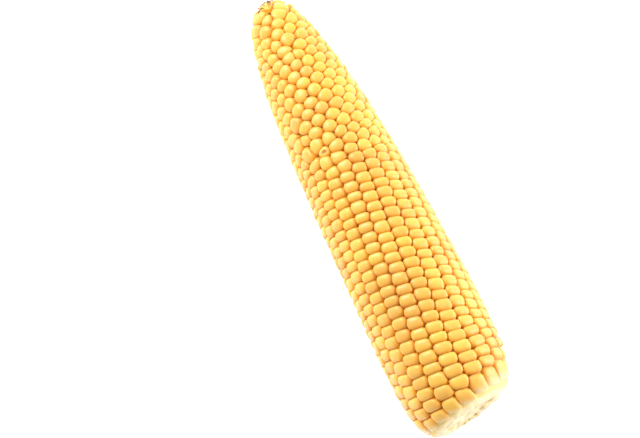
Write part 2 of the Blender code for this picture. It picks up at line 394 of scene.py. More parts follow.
@dataclass(frozen=True)
class KernelLayout:
    """Lays the kernels out on the ear and shares the surface out between them."""

    ear: EarShape
    dome: float = 1.75 * MM
    seam: float = 0.04 * MM
    outline_points: int = 14
    corner_power: float = 16.0
    square_power: float = 5.5
    round_power: float = 3.4
    reach: float = 13.0 * MM
    stray_along: float = 0.03
    stray_across: float = 0.03
    zigzag: float = 0.25
    skew: float = math.radians(-5)
    stunted: tuple[tuple[int, float], ...] = ((13, 0.1304),)
    stunted_claim: float = 0.62
    butt_room: float = 0.58
    tip_room: float = 0.56
    step: float = 0.3 * MM
    longest_first: float = 1.1
    first_trim: float = 0.8
    rounding_start: float = 20.0 * MM
    rounding_length: float = 60.0 * MM
    rounding: float = 0.45
    round_dome: float = 0.18
    highest_dome: float = 0.62
    settled_across: float = 1.8
    settled_along: float = 2.0

    def kernels(self) -> list[Kernel]:
        """Places every kernel and gives each its outline.

        Returns:
            The kernels, row by row from the butt to the tip.
        """
        found = [k for row in range(self.ear.rows) for k in self._row(row)]
        centres = np.array([k.shoulder for k in found])
        outwards = np.array([k.outward for k in found])
        for index, kernel in enumerate(found):
            apart = np.linalg.norm(centres - centres[index], axis=1)
            facing = outwards @ np.array(kernel.outward)
            near = np.nonzero((apart < self.reach) & (apart > 0) & (facing > 0.1))[0]
            walls = self._walls(kernel, [found[i] for i in near])
            kernel.outline, kernel.crown_outline = self._outlines(kernel, walls)
        return found

    def _row(self, row: int) -> Iterable[Kernel]:
        """Places one row's kernels."""
        ear = self.ear
        joints = ear.row_joints(row)
        for place, (start, end) in enumerate(zip(joints, joints[1:])):
            if place == 0:
                spare = end - start - self.longest_first * ear.pitch(start)
                start += self.first_trim * max(0.0, spare)
            length = end - start
            s = (start + end) / 2
            settled = ear.settled(s)
            rounded = smooth_step((s - self.rounding_start) / self.rounding_length)
            roundness = self.rounding * rounded + (1 - self.rounding) * settled
            low, high = ear.row_edges(row, s)
            width = (high - low) * ear.crown(s)[1]
            side = 1 if self._course(s) % 2 else -1
            stray = self.stray_across * (1 + self.settled_across * settled) * jitter(row + 0.71, place + 7)
            stray += self.zigzag * settled * side
            drift = self.stray_along * (1 + self.settled_along * settled)
            s += drift * length * jitter(row + 0.37, place)
            angle = (low + high) / 2 + stray * (high - low)
            depth = ear.depth(s)
            dome = min(self.dome * (1 + self.round_dome * roundness), self.highest_dome * depth)
            shoulder = ear.on_ear(s, angle, dome)
            outward = (ear.on_ear(s, angle, 0.0) - ear.on_ear(s, angle, depth)).normalized()
            behind, ahead = (
                ear.on_ear(near, sum(ear.row_edges(row, near)) / 2, dome)
                for near in (s - self.step, s + self.step)
            )
            along = ahead - behind
            along = (along - along.dot(outward) * outward).normalized()
            across = along.cross(outward).normalized()
            stunted = any(row == where and start <= at < end for where, at in self.stunted)
            form = KernelForm.STUNTED if stunted else KernelForm.PLUMP
            last = place == len(joints) - 2
            size = (s, length, width, roundness)
            axes = (shoulder, outward, across, along)
            yield Kernel(row, place, last, *size, *axes, depth, dome, form)

    def _course(self, s: float) -> int:
        """The number of the course that this length falls in."""
        return int(np.searchsorted(self.ear.courses(), s))

    def _half_size(self, kernel: Kernel, direction: Vector) -> float:
        """A kernel's claim on the room in a direction: half its width one way, half its length the other."""
        claim = self.stunted_claim if kernel.form is KernelForm.STUNTED else 1.0
        sideways, lengthways = abs(direction.dot(kernel.across)), abs(direction.dot(kernel.along))
        return claim * (sideways * kernel.width + lengthways * kernel.length) / 2

    def _walls(self, kernel: Kernel, near: Sequence[Kernel]) -> Outline:
        """Where a kernel meets its neighbours: each wall's heading round it, and how far off it is."""
        walls: Outline = []
        for other in near:
            towards = other.shoulder - kernel.shoulder
            flat = Vector((towards.dot(kernel.across), towards.dot(kernel.along)))
            if flat.length < 0.5 * MM:
                continue
            heading = towards.normalized()
            mine, theirs = self._half_size(kernel, heading), self._half_size(other, heading)
            skew = self.skew * (1 - self.ear.settled(kernel.s)) if other.row == kernel.row else 0.0
            walls.append((math.atan2(flat.y, flat.x) + skew, flat.length * mine / (mine + theirs)))
        if kernel.place == 0:
            walls.append((-math.pi / 2, self.butt_room * kernel.length))
        if kernel.last:
            walls.append((math.pi / 2, self.tip_room * kernel.length))
        return walls

    def _outlines(
        self, kernel: Kernel, walls: Sequence[tuple[float, float]]
    ) -> tuple[Outline, Outline]:
        """The kernel's outline between its walls, at its shoulder and, rounder, at its crown.

        Args:
            kernel: The kernel.
            walls: The heading and distance of each wall.

        Returns:
            The two outlines' points as (across, along) lengths, matched point by point.
        """
        angles = np.linspace(0, 2 * math.pi, 180, endpoint=False)
        power = self.square_power + (self.round_power - self.square_power) * kernel.roundness
        corners = self._ring(kernel, walls, angles, self.corner_power)
        rounded = self._ring(kernel, walls, angles, power)
        rounded *= np.abs(corners).max(axis=0) / np.abs(rounded).max(axis=0)
        steps = np.linalg.norm(np.roll(corners, -1, 0) - corners, axis=1)
        lengths = np.concatenate([[0.0], np.cumsum(steps)])
        wanted = np.linspace(0, lengths[-1], self.outline_points, endpoint=False)
        outlines = []
        for ring in (corners, rounded):
            closed = np.vstack([ring, ring[:1]])
            xs, ys = (np.interp(wanted, lengths, closed[:, k]) for k in (0, 1))
            outlines.append([(float(x), float(y)) for x, y in zip(xs, ys)])
        return outlines[0], outlines[1]

    def _ring(
        self, kernel: Kernel, walls: Sequence[tuple[float, float]], angles: np.ndarray, power: float
    ) -> np.ndarray:
        """Points all round a kernel just inside its walls, with sharper corners for a higher power."""
        pull = np.zeros_like(angles)
        for heading, distance in walls:
            pull += np.maximum(0.0, np.cos(angles - heading) / distance) ** power
        reach = np.maximum(pull, 1e-12) ** (-1 / power)
        reach = np.minimum(reach, 0.75 * max(kernel.width, kernel.length)) * 1.02 - self.seam
        return np.stack([reach * np.cos(angles), reach * np.sin(angles)], 1)


@dataclass(frozen=True)
class KernelRing:
    """One ring of a kernel's crown: its height, how far in from the shoulder, and how rounded, as shares."""

    height: float
    inset: float
    rounded: float


@dataclass(frozen=True)
class KernelTree:
    """The Geometry Nodes tree that raises kernels from the flat outlines of their shoulders."""

    root_width: float = 0.60
    flank_width: float = 1.07
    flank_height: float = 0.88
    crown_rings: tuple[KernelRing, ...] = (
        KernelRing(0.40, 0.035, 0.40),
        KernelRing(0.72, 0.15, 0.85),
        KernelRing(0.92, 0.40, 1.0),
        KernelRing(1.00, 0.78, 1.0),
    )
    tilt: float = 0.22 * MM
    lift: float = 0.16 * MM
    dimple: float = 0.5 * MM
    weld: float = 0.001 * MM
    seed: int = 7

    def tree(self) -> Tree:
        """Builds the tree, with its sizes as named inputs.

        Returns:
            The node group.
        """
        tree = bpy.data.node_groups.new("kernels_from_outlines", "GeometryNodeTree")
        for name, kind, value in (
            ("Geometry", "NodeSocketGeometry", None),
            ("Root width", "NodeSocketFloat", self.root_width),
            ("Flank width", "NodeSocketFloat", self.flank_width),
            ("Flank height", "NodeSocketFloat", self.flank_height),
            ("Crown tilt", "NodeSocketFloat", self.tilt),
            ("Crown lift", "NodeSocketFloat", self.lift),
            ("Dimple", "NodeSocketFloat", self.dimple),
            ("Table height", "NodeSocketFloat", 0.0),
            ("Seed", "NodeSocketInt", self.seed),
            ("Skin", "NodeSocketMaterial", None),
        ):
            socket = tree.interface.new_socket(name=name, in_out="INPUT", socket_type=kind)
            if value is not None:
                socket.default_value = value
        tree.interface.new_socket(name="Geometry", in_out="OUTPUT", socket_type="NodeSocketGeometry")
        fields = self._fields(tree)

        # The outlines lie at the shoulders. They are sunk to the roots and drawn in, and a turned-over copy
        # closes each kernel below.
        root, flank = (fields[name] for name in ("Root width", "Flank width"))
        rooted = self._ring(tree, fields, fields["Geometry"], None, fields["sunk"], (root, root), 0.0, 0.0)
        undersides = add_node(tree, "GeometryNodeFlipFaces", {"Mesh": rooted})

        # Flank and shoulder.
        mesh, top = self._raise(tree, fields, rooted, None, fields["middle"], (flank, flank), 0.0, 0.25)
        mesh, top = self._raise(tree, fields, mesh, top, 0.0, (1.0, 1.0), 0.0, 0.5)
        mesh = self._crown(tree, fields, mesh, top)

        whole = add_node(tree, "GeometryNodeJoinGeometry")
        tree.links.new(undersides.outputs[0], whole.inputs[0])
        tree.links.new(mesh.outputs[0], whole.inputs[0])
        welded = add_node(tree, "GeometryNodeMergeByDistance", {"Geometry": whole, "Distance": self.weld})
        pressed = self._press_on_table(tree, fields, self._mark_fore(tree, fields, welded))
        smooth = add_node(tree, "GeometryNodeSetShadeSmooth", {"Geometry": pressed, "Shade Smooth": True})
        real = add_node(tree, "GeometryNodeRealizeInstances", {"Geometry": smooth})
        dressed = add_node(tree, "GeometryNodeSetMaterial", {"Geometry": real, "Material": fields["Skin"]})
        add_node(tree, "NodeGroupOutput", {"Geometry": dressed})
        return tree

    def _fields(self, tree: Tree) -> dict[str, Any]:
        """What the tree works with, by name.

        Args:
            tree: The node tree.

        Returns:
            The tree's inputs, what each kernel's points carry, and the lengths worked out from them.
        """
        fields: dict[str, Any] = dict(add_node(tree, "NodeGroupInput").outputs.items())
        sides = ("sideways", "lengthways", "round_sideways", "round_lengthways")
        for kind, names in (
            ("FLOAT", ("depth", "dome", "dimple", "half_width", "half_length", "smaller_half", *sides)),
            ("FLOAT_VECTOR", ("outward", "across", "along", "centre")),
            ("INT", ("kernel",)),
        ):
            for name in names:
                read = add_node(tree, "GeometryNodeInputNamedAttribute", {"Name": name}, data_type=kind)
                fields[name] = read.outputs["Attribute"]
        for name, shift in (("lift_chance", 0.0), ("across_chance", 11.0), ("along_chance", 23.0)):
            seed = add_node(tree, "ShaderNodeMath", {0: fields["Seed"], 1: shift}, operation="ADD")
            inputs = {2: -1.0, 3: 1.0, "ID": fields["kernel"], "Seed": seed}
            fields[name] = add_node(tree, "FunctionNodeRandomValue", inputs, data_type="FLOAT").outputs[1]
        for name, operation, a, b in (
            ("shank", "SUBTRACT", "depth", "dome"),
            ("sunk", "MULTIPLY", "shank", -1.0),
            ("below", "SUBTRACT", "Flank height", 1.0),
            ("middle", "MULTIPLY", "shank", "below"),
            ("lift", "MULTIPLY", "lift_chance", "Crown lift"),
            ("crown", "ADD", "dome", "lift"),
            ("tilt_across", "MULTIPLY", "across_chance", "Crown tilt"),
            ("tilt_along", "MULTIPLY", "along_chance", "Crown tilt"),
            ("dent", "MULTIPLY", "dimple", "Dimple"),
            ("inward", "MULTIPLY", "dent", -1.0),
        ):
            inputs = {0: fields.get(a, a), 1: fields.get(b, b)}
            fields[name] = add_node(tree, "ShaderNodeMath", inputs, operation=operation)
        return fields

    def _crown(self, tree: Tree, fields: dict[str, Any], mesh: Any, top: Any) -> Node:
        """Raises the crown over the shoulder, each kernel's a little higher or more tilted than the next.

        Every ring goes in from the shoulder by the same length on all sides.

        Args:
            tree: The node tree.
            fields: What the tree works with.
            mesh: The kernels so far.
            top: The faces at their shoulders.

        Returns:
            The kernels with their crowns.
        """
        across, along, inward = (
            add_node(tree, "ShaderNodeVectorMath", {0: fields[way], "Scale": fields[by]}, operation="SCALE")
            for way, by in (("across", "tilt_across"), ("along", "tilt_along"), ("outward", "inward"))
        )
        tilt = add_node(tree, "ShaderNodeVectorMath", {0: across, 1: along}, operation="ADD")
        for ring in self.crown_rings:
            height, inset = (
                add_node(tree, "ShaderNodeMath", {0: fields[name], 1: share}, operation="MULTIPLY")
                for name, share in (("crown", ring.height), ("smaller_half", ring.inset))
            )
            size = []
            for half in ("half_width", "half_length"):
                share = add_node(tree, "ShaderNodeMath", {0: inset, 1: fields[half]}, operation="DIVIDE")
                size.append(add_node(tree, "ShaderNodeMath", {0: 1.0, 1: share}, operation="SUBTRACT"))
            level = 0.5 + 0.5 * ring.height
            mesh, top = self._raise(tree, fields, mesh, top, height, size, ring.rounded, level)
            lean = add_node(tree, "ShaderNodeVectorMath", {0: tilt, "Scale": ring.height}, operation="SCALE")
            inputs = {"Geometry": mesh, "Selection": top, "Offset": lean}
            mesh = add_node(tree, "GeometryNodeSetPosition", inputs)
        inputs = {"Geometry": mesh, "Selection": top, "Offset": inward}
        return add_node(tree, "GeometryNodeSetPosition", inputs)

    def _ring(
        self,
        tree: Tree,
        fields: dict[str, Any],
        mesh: Any,
        faces: Any,
        height: Any,
        size: Sequence[Any],
        rounded: float,
        level: float,
    ) -> Node:
        """Places a ring of points and marks it.

        Args:
            tree: The node tree.
            fields: What the tree works with.
            mesh: The kernels so far.
            faces: The faces whose points are placed, or None for all.
            height: How far above the shoulder the ring stands.
            size: Its width and its length, next to the shoulder's.
            rounded: 0 for the shoulder's outline, 1 for the crown's rounder one.
            level: Its mark: 0 at the root, 0.5 at the shoulder, 1 at the crown.

        Returns:
            The kernels with the ring in place.
        """
        inputs = {0: fields["outward"], "Scale": height}
        raised = add_node(tree, "ShaderNodeVectorMath", inputs, operation="SCALE")
        place = add_node(tree, "ShaderNodeVectorMath", {0: fields["centre"], 1: raised}, operation="ADD")
        for axis, side, share in (("across", "sideways", size[0]), ("along", "lengthways", size[1])):
            square, round_ = (
                add_node(tree, "ShaderNodeMath", {0: fields[name], 1: part}, operation="MULTIPLY")
                for name, part in ((side, 1 - rounded), (f"round_{side}", rounded))
            )
            reach = add_node(tree, "ShaderNodeMath", {0: square, 1: round_}, operation="ADD")
            reach = add_node(tree, "ShaderNodeMath", {0: reach, 1: share}, operation="MULTIPLY")
            inputs = {0: fields[axis], "Scale": reach}
            step = add_node(tree, "ShaderNodeVectorMath", inputs, operation="SCALE")
            place = add_node(tree, "ShaderNodeVectorMath", {0: place, 1: step}, operation="ADD")
        chosen = {} if faces is None else {"Selection": faces}
        placed = add_node(tree, "GeometryNodeSetPosition", {"Geometry": mesh, "Position": place, **chosen})
        inputs = {"Geometry": placed, "Name": "height", "Value": level, **chosen}
        return add_node(tree, "GeometryNodeStoreNamedAttribute", inputs, data_type="FLOAT", domain="POINT")

    def _raise(
        self, tree: Tree, fields: dict[str, Any], mesh: Any, top: Any, *ring: Any
    ) -> tuple[Node, bpy.types.NodeSocket]:
        """Raises each kernel's top to a new ring.

        Args:
            tree: The node tree.
            fields: What the tree works with.
            mesh: The kernels so far.
            top: Which faces are tops, or None for all of them.
            *ring: The new ring's height, size, roundness and mark, as _ring takes them.

        Returns:
            The kernels with the ring added, and which faces are now their tops.
        """
        inputs = {"Mesh": mesh, "Offset Scale": 0.0, "Individual": True}
        if top is not None:
            inputs["Selection"] = top
        raised = add_node(tree, "GeometryNodeExtrudeMesh", inputs, mode="FACES").outputs
        return self._ring(tree, fields, raised["Mesh"], raised["Top"], *ring), raised["Top"]

    def _mark_fore(self, tree: Tree, fields: dict[str, Any], mesh: Any) -> Node:
        """Marks every point with how far it is towards the tip end of its kernel, from -1 to 1."""
        place = add_node(tree, "GeometryNodeInputPosition")
        apart = add_node(tree, "ShaderNodeVectorMath", {0: place, 1: fields["centre"]}, operation="SUBTRACT")
        inputs = {0: apart, 1: fields["along"]}
        length = add_node(tree, "ShaderNodeVectorMath", inputs, operation="DOT_PRODUCT").outputs["Value"]
        share = add_node(tree, "ShaderNodeMath", {0: length, 1: fields["half_length"]}, operation="DIVIDE")
        inputs = {"Geometry": mesh, "Name": "fore", "Value": share}
        return add_node(tree, "GeometryNodeStoreNamedAttribute", inputs, data_type="FLOAT", domain="POINT")

    def _press_on_table(self, tree: Tree, fields: dict[str, Any], mesh: Any) -> Node:
        """Presses what would stand in the table flat on it, as the ear's weight does."""
        place = add_node(tree, "GeometryNodeInputPosition")
        parts = add_node(tree, "ShaderNodeSeparateXYZ", {0: place}).outputs
        inputs = {0: parts["Z"], 1: fields["Table height"]}
        height = add_node(tree, "ShaderNodeMath", inputs, operation="MAXIMUM")
        above = add_node(tree, "ShaderNodeCombineXYZ", {"X": parts["X"], "Y": parts["Y"], "Z": height})
        return add_node(tree, "GeometryNodeSetPosition", {"Geometry": mesh, "Position": above})


@dataclass
class KernelRows:
    """The ear's kernels, one piece to a row."""

    layout: KernelLayout
    tree_plan: KernelTree
    skin: Material

    def build(self) -> list[Object]:
        """Makes every row.

        Returns:
            The rows' pieces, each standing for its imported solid.
        """
        tree = self.tree_plan.tree()
        kernels = self.layout.kernels()
        pieces = []
        for row in range(self.layout.ear.rows):
            members = [k for k in kernels if k.row == row]
            piece = self._row(f"kernels_{row + 1:02d}", members, tree)
            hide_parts(f"kernel_row_{row + 1:02d}")
            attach(piece, "root")
            LOG.info("%s: %d kernels, %d faces", piece.name, len(members), len(piece.data.polygons))
            pieces.append(piece)
        return pieces

    def _row(self, name: str, kernels: Sequence[Kernel], tree: Tree) -> Object:
        """Makes one row from its kernels' outlines."""
        mesh = bpy.data.meshes.new(name)
        points, faces = [], []
        for kernel in kernels:
            faces.append(list(range(len(points), len(points) + len(kernel.outline))))
            points += [kernel.shoulder + x * kernel.across + y * kernel.along for x, y in kernel.outline]
        mesh.from_pydata(points, [], faces)
        mesh.update()
        if mesh.polygons[0].normal.dot(kernels[0].outward) < 0:
            mesh.flip_normals()
        self._mark(mesh, kernels)
        obj = mesh_object(name, mesh)
        modifier = obj.modifiers.new("kernels", "NODES")
        modifier.node_group = tree
        items = {item.name: item.identifier for item in tree.interface.items_tree if item.in_out == "INPUT"}
        modifier[items["Skin"]] = self.skin
        return plain_mesh(obj)

    def _mark(self, mesh: Mesh, kernels: Sequence[Kernel]) -> None:
        """Gives each outline's points what the tree and the skin read."""
        numbers: dict[str, list[float]] = {
            "depth": [k.depth for k in kernels],
            "dome": [k.dome * (0.8 if k.form is KernelForm.STUNTED else 1.0) for k in kernels],
            "dimple": [1.0 if k.form is KernelForm.STUNTED else 0.0 for k in kernels],
            "first": [1.0 if k.place == 0 and k.s < 0.02 else 0.0 for k in kernels],
            "tone": [jitter(k.row + 0.5, k.place + 31) for k in kernels],
            "half_width": [max(abs(x) for x, _ in k.outline) for k in kernels],
            "half_length": [max(abs(y) for _, y in k.outline) for k in kernels],
        }
        numbers["smaller_half"] = [min(w, h) for w, h in zip(numbers["half_width"], numbers["half_length"])]
        for name, values in numbers.items():
            self._add(mesh, name, "FLOAT", [[v] * len(k.outline) for v, k in zip(values, kernels)])
        for side, axis in (("sideways", 0), ("lengthways", 1)):
            self._add(mesh, side, "FLOAT", [[point[axis] for point in k.outline] for k in kernels])
            rounder = [[point[axis] for point in k.crown_outline] for k in kernels]
            self._add(mesh, f"round_{side}", "FLOAT", rounder)
        self._add(mesh, "kernel", "INT", [[k.row * 100 + k.place] * len(k.outline) for k in kernels])
        sources = {"outward": "outward", "across": "across", "along": "along", "centre": "shoulder"}
        for name, source in sources.items():
            vectors = [[x for _ in k.outline for x in getattr(k, source)] for k in kernels]
            self._add(mesh, name, "FLOAT_VECTOR", vectors)

    def _add(self, mesh: Mesh, name: str, kind: str, values: Sequence[Sequence[float]]) -> None:
        """Adds a point attribute from each kernel's values."""
        attribute = mesh.attributes.new(name, kind, "POINT")
        field_name = "vector" if kind == "FLOAT_VECTOR" else "value"
        attribute.data.foreach_set(field_name, [v for group in values for v in group])


# ---------------------------------------------------------------------------------------------------------
# The core


@dataclass
class CobCore:
    """The core: the collar at its butt that the kernels stand behind, and its stalk's snapped end."""

    ear: EarShape
    pith: Material
    around: int = 144
    face_rings: int = 18
    collar_rings: int = 10
    back_rings: int = 4
    side_rings: int = 40
    gap: float = 0.5 * MM
    stalk_radius: float = 11.0 * MM
    stalk_end: float = 1.2 * MM
    dish: float = 1.4 * MM
    tuck: float = 3.2 * MM
    tuck_depth: float = 1.6 * MM
    fibre_height: float = 0.22 * MM
    lump_height: float = 0.55 * MM
    pits: int = 34
    pit_depth: float = 1.5 * MM
    woody_ring: float = 9.6 * MM
    woody_width: float = 2.6 * MM

    def build(self) -> Object:
        """Makes the core: a torn face, a collar with hollows in it, and the long tapered side.

        Returns:
            The core's piece.
        """
        profile = self._profile()
        shape = bmesh.new()
        rings: list[list[bmesh.types.BMVert]] = []
        marks: dict[str, list[float]] = {"pit": [], "yellow": [], "wood": []}
        for index, (y, radius, torn) in enumerate(profile):
            before, after = profile[max(index - 1, 0)], profile[min(index + 1, len(profile) - 1)]
            normal = Vector((before[1] - after[1], after[0] - before[0])).normalized()
            ring = []
            for i in range(self.around):
                angle = 2 * math.pi * i / self.around
                pit = self._pit(radius, angle) * torn
                off = self._torn(radius, angle) * torn - self.pit_depth * pit
                place = self.ear.place(y + off * normal.x, radius + off * normal.y, angle)
                ring.append(shape.verts.new(place))
                marks["pit"].append(pit)
            wood = torn * math.exp(-(((radius - self.woody_ring) / self.woody_width) ** 2))
            marks["yellow"] += [smooth_step(1.6 - 2.2 * torn)] * self.around
            marks["wood"] += [wood] * self.around
            rings.append(ring)
        for near, far in zip(rings, rings[1:]):
            for i in range(self.around):
                j = (i + 1) % self.around
                shape.faces.new((near[i], near[j], far[j], far[i]))
        for ring in (rings[0], rings[-1]):
            middle = shape.verts.new(sum((v.co for v in ring), Vector()) / len(ring))
            for i in range(self.around):
                shape.faces.new((middle, ring[i], ring[(i + 1) % self.around]))
        bmesh.ops.recalc_face_normals(shape, faces=shape.faces)
        mesh = bpy.data.meshes.new("core")
        shape.to_mesh(mesh)
        shape.free()
        mesh.shade_smooth()
        for name, values in marks.items():
            # The middles of the two ends come last, and carry no mark.
            mesh.attributes.new(name, "FLOAT", "POINT").data.foreach_set("value", values + [0.0, 0.0])
        mesh.materials.append(self.pith)
        obj = mesh_object("core", mesh)
        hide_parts("cob_core")
        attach(obj, "root")
        LOG.info("core: %d faces", len(mesh.polygons))
        return obj

    def _profile(self) -> list[tuple[float, float, float]]:
        """(y, radius, how torn) of each ring, from the middle of the snapped face to the tip."""
        ear = self.ear
        profile = []
        for i in range(1, self.face_rings + 1):
            share = i / self.face_rings
            profile.append((self.stalk_end + self.dish * (1 - share**2), self.stalk_radius * share, 1.0))
        rim_y, rim = ear.crown(0.0)
        for i in range(1, 5):
            share = i / 4
            y = self.stalk_end + (rim_y - self.stalk_end) * share
            profile.append((y, self.stalk_radius + (rim - self.stalk_radius) * share, 1.0))
        for i in range(1, self.collar_rings + 1):
            share = i / self.collar_rings
            profile.append((*ear.crown(ear.collar_end * share), 1.0 - 0.7 * share))
        # The collar runs on a little under the first kernels, so that no gap shows between them.
        for i in range(1, 5):
            s = ear.collar_end + self.tuck * i / 4
            profile.append((*ear.below_crown(s, self.tuck_depth * i / 4), 0.25))
        start = ear.collar_end + self.tuck
        for i in range(1, self.back_rings + 1):
            drop = self.tuck_depth + (ear.depth(start) + self.gap - self.tuck_depth) * i / self.back_rings
            profile.append((*ear.below_crown(start, drop), 0.0))
        for i in range(1, self.side_rings + 1):
            s = start + (ear.total - start) * (1 - math.cos(math.pi * i / self.side_rings)) / 2
            y, radius = ear.below_crown(s, ear.depth(s) + self.gap)
            profile.append((y, max(radius - self.gap / 2, 0.6 * MM), 0.0))
        y, radius, _ = profile[-1]
        profile.append((y + 0.5 * radius, 0.7 * radius, 0.3))
        return profile

    def _torn(self, radius: float, angle: float) -> float:
        """How far the torn surface stands off its profile here."""
        spot = Vector((radius * math.sin(angle), 0.0, -radius * math.cos(angle)))
        streak = Vector((7 * math.cos(angle), 7 * math.sin(angle), radius / (6 * MM)))
        fibres = noise.fractal(streak * 1.6, 0.9, 2.1, 3)
        lumps = noise.fractal(spot / (3.2 * MM), 1.0, 2.0, 2)
        grain = noise.noise(spot / (0.8 * MM))
        return self.fibre_height * fibres + self.lump_height * lumps + 0.10 * MM * grain

    def _pit(self, radius: float, angle: float) -> float:
        """How deep in a hollow this place is, from 0 to 1."""
        x, z = radius * math.sin(angle), -radius * math.cos(angle)
        deepest = 0.0
        for i in range(self.pits):
            turn = 2 * math.pi * (i + 0.9 * jitter(i, 3)) / self.pits
            out = self.woody_ring + self.woody_width * 0.8 * jitter(i, 5)
            size = (0.85 + 0.5 * jitter(i, 8)) * MM
            apart = math.hypot(x - out * math.sin(turn), z + out * math.cos(turn)) / size
            deepest = max(deepest, (0.55 + 0.45 * jitter(i, 13)) * math.exp(-(apart**2)))
        return deepest


@dataclass
class DriedSilk:
    """What husking left of the silk: the tuft's stubs on the tip, and single threads between kernels."""

    ear: EarShape
    finish: Material
    stubs: int = 22
    stub_spread: float = 9.0 * MM
    stub_angle: float = 186.0
    stub_width: float = 30.0
    threads: tuple[tuple[float, float, float], ...] = (
        (0.1850, 171, 3.4), (0.1842, 166, 2.2), (0.1775, 135, 4.2),
        (0.1560, 196, 2.4), (0.0445, 143, 3.0),
    )
    points: int = 6
    # Dried silk is finer than this, about 0.1 mm across: it is drawn thicker so that it shows.
    thickness: float = 0.26 * MM
    seed: int = 5

    def build(self) -> Object:
        """Lays the threads' paths on the ear and turns them into threads of uneven thickness.

        Returns:
            The silk's piece.
        """
        mesh = bpy.data.meshes.new("silk_threads")
        places: list[Vector] = []
        edges: list[tuple[int, int]] = []
        for path in self._paths():
            edges += [(len(places) + i, len(places) + i + 1) for i in range(len(path) - 1)]
            places += path
        mesh.from_pydata([tuple(place) for place in places], edges, [])
        obj = mesh_object("silk_threads", mesh)
        modifier = obj.modifiers.new("threads", "NODES")
        modifier.node_group = self.tree()
        items = {item.name: item.identifier for item in modifier.node_group.interface.items_tree}
        modifier[items["Thickness"]] = self.thickness
        modifier[items["Seed"]] = self.seed
        modifier[items["Finish"]] = self.finish
        plain_mesh(obj)
        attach(obj, "root")
        LOG.info("silk: %d threads, %d faces", self.stubs + len(self.threads), len(obj.data.polygons))
        return obj

    def _paths(self) -> Iterable[list[Vector]]:
        """Each thread's path: the stubs round the tip's end, then the single threads."""
        for i in range(self.stubs):
            s = self.ear.total - self.stub_spread * (0.62 + 0.38 * jitter(i, 2))
            angle = self.stub_angle + self.stub_width * jitter(i, 4)
            yield self._path(i, s, angle, 2.2 + 0.9 * jitter(i, 6), 0.35)
        for i, (s, angle, length) in enumerate(self.threads):
            yield self._path(40 + i, s, angle, length, -0.5)

    def _path(self, number: int, s: float, angle: float, length: float, lift: float) -> list[Vector]:
        """One thread's points.

        Args:
            number: Which thread it is.
            s: Its middle's place along the ear.
            angle: Its middle's place round the ear, in degrees.
            length: Its length in millimetres.
            lift: How far its middle stands above the crowns, in millimetres.

        Returns:
            The points.
        """
        turn = math.pi * jitter(number, 9)
        radius = max(self.ear.crown(min(s, self.ear.total))[1], 2 * MM)
        path = []
        for i in range(self.points):
            share = i / (self.points - 1) - 0.5
            bend = 0.35 * length * MM * (share**2) * (1 if jitter(number, 11) > 0 else -1)
            along = length * MM * share * math.cos(turn) - bend * math.sin(turn)
            across = length * MM * share * math.sin(turn) + bend * math.cos(turn)
            height = (lift - 1.1 * abs(share) + 0.25 * jitter(number, 13 + i)) * MM
            where = min(s + along, self.ear.total - 0.2 * MM)
            path.append(self.ear.on_ear(where, math.radians(angle) + across / radius, -height))
        return path

    def tree(self) -> Tree:
        """Builds the tree that turns paths into threads, with its sizes as named inputs.

        Returns:
            The node group.
        """
        tree = bpy.data.node_groups.new("threads_from_paths", "GeometryNodeTree")
        for name, kind in (
            ("Geometry", "NodeSocketGeometry"),
            ("Thickness", "NodeSocketFloat"),
            ("Seed", "NodeSocketInt"),
            ("Finish", "NodeSocketMaterial"),
        ):
            tree.interface.new_socket(name=name, in_out="INPUT", socket_type=kind)
        tree.interface.new_socket(name="Geometry", in_out="OUTPUT", socket_type="NodeSocketGeometry")
        sizes = add_node(tree, "NodeGroupInput").outputs
        curves = add_node(tree, "GeometryNodeMeshToCurve", {"Mesh": sizes["Geometry"]})
        uneven = add_node(
            tree, "FunctionNodeRandomValue", {2: 0.5, 3: 1.4, "Seed": sizes["Seed"]}, data_type="FLOAT"
        ).outputs[1]
        thick = add_node(tree, "ShaderNodeMath", {0: sizes["Thickness"], 1: uneven}, operation="MULTIPLY")
        curves = add_node(tree, "GeometryNodeSetCurveRadius", {"Curve": curves, "Radius": 1.0})
        ring = add_node(
            tree, "GeometryNodeCurvePrimitiveCircle", {"Resolution": 5, "Radius": 1.0}, mode="RADIUS"
        )
        threads = add_node(
            tree,
            "GeometryNodeCurveToMesh",
            {"Curve": curves, "Profile Curve": ring, "Scale": thick, "Fill Caps": True},
        )
        smooth = add_node(tree, "GeometryNodeSetShadeSmooth", {"Geometry": threads, "Shade Smooth": True})
        real = add_node(tree, "GeometryNodeRealizeInstances", {"Geometry": smooth})
        dressed = add_node(tree, "GeometryNodeSetMaterial", {"Geometry": real, "Material": sizes["Finish"]})
        add_node(tree, "NodeGroupOutput", {"Geometry": dressed})
        return tree


# ---------------------------------------------------------------------------------------------------------
# Finishes


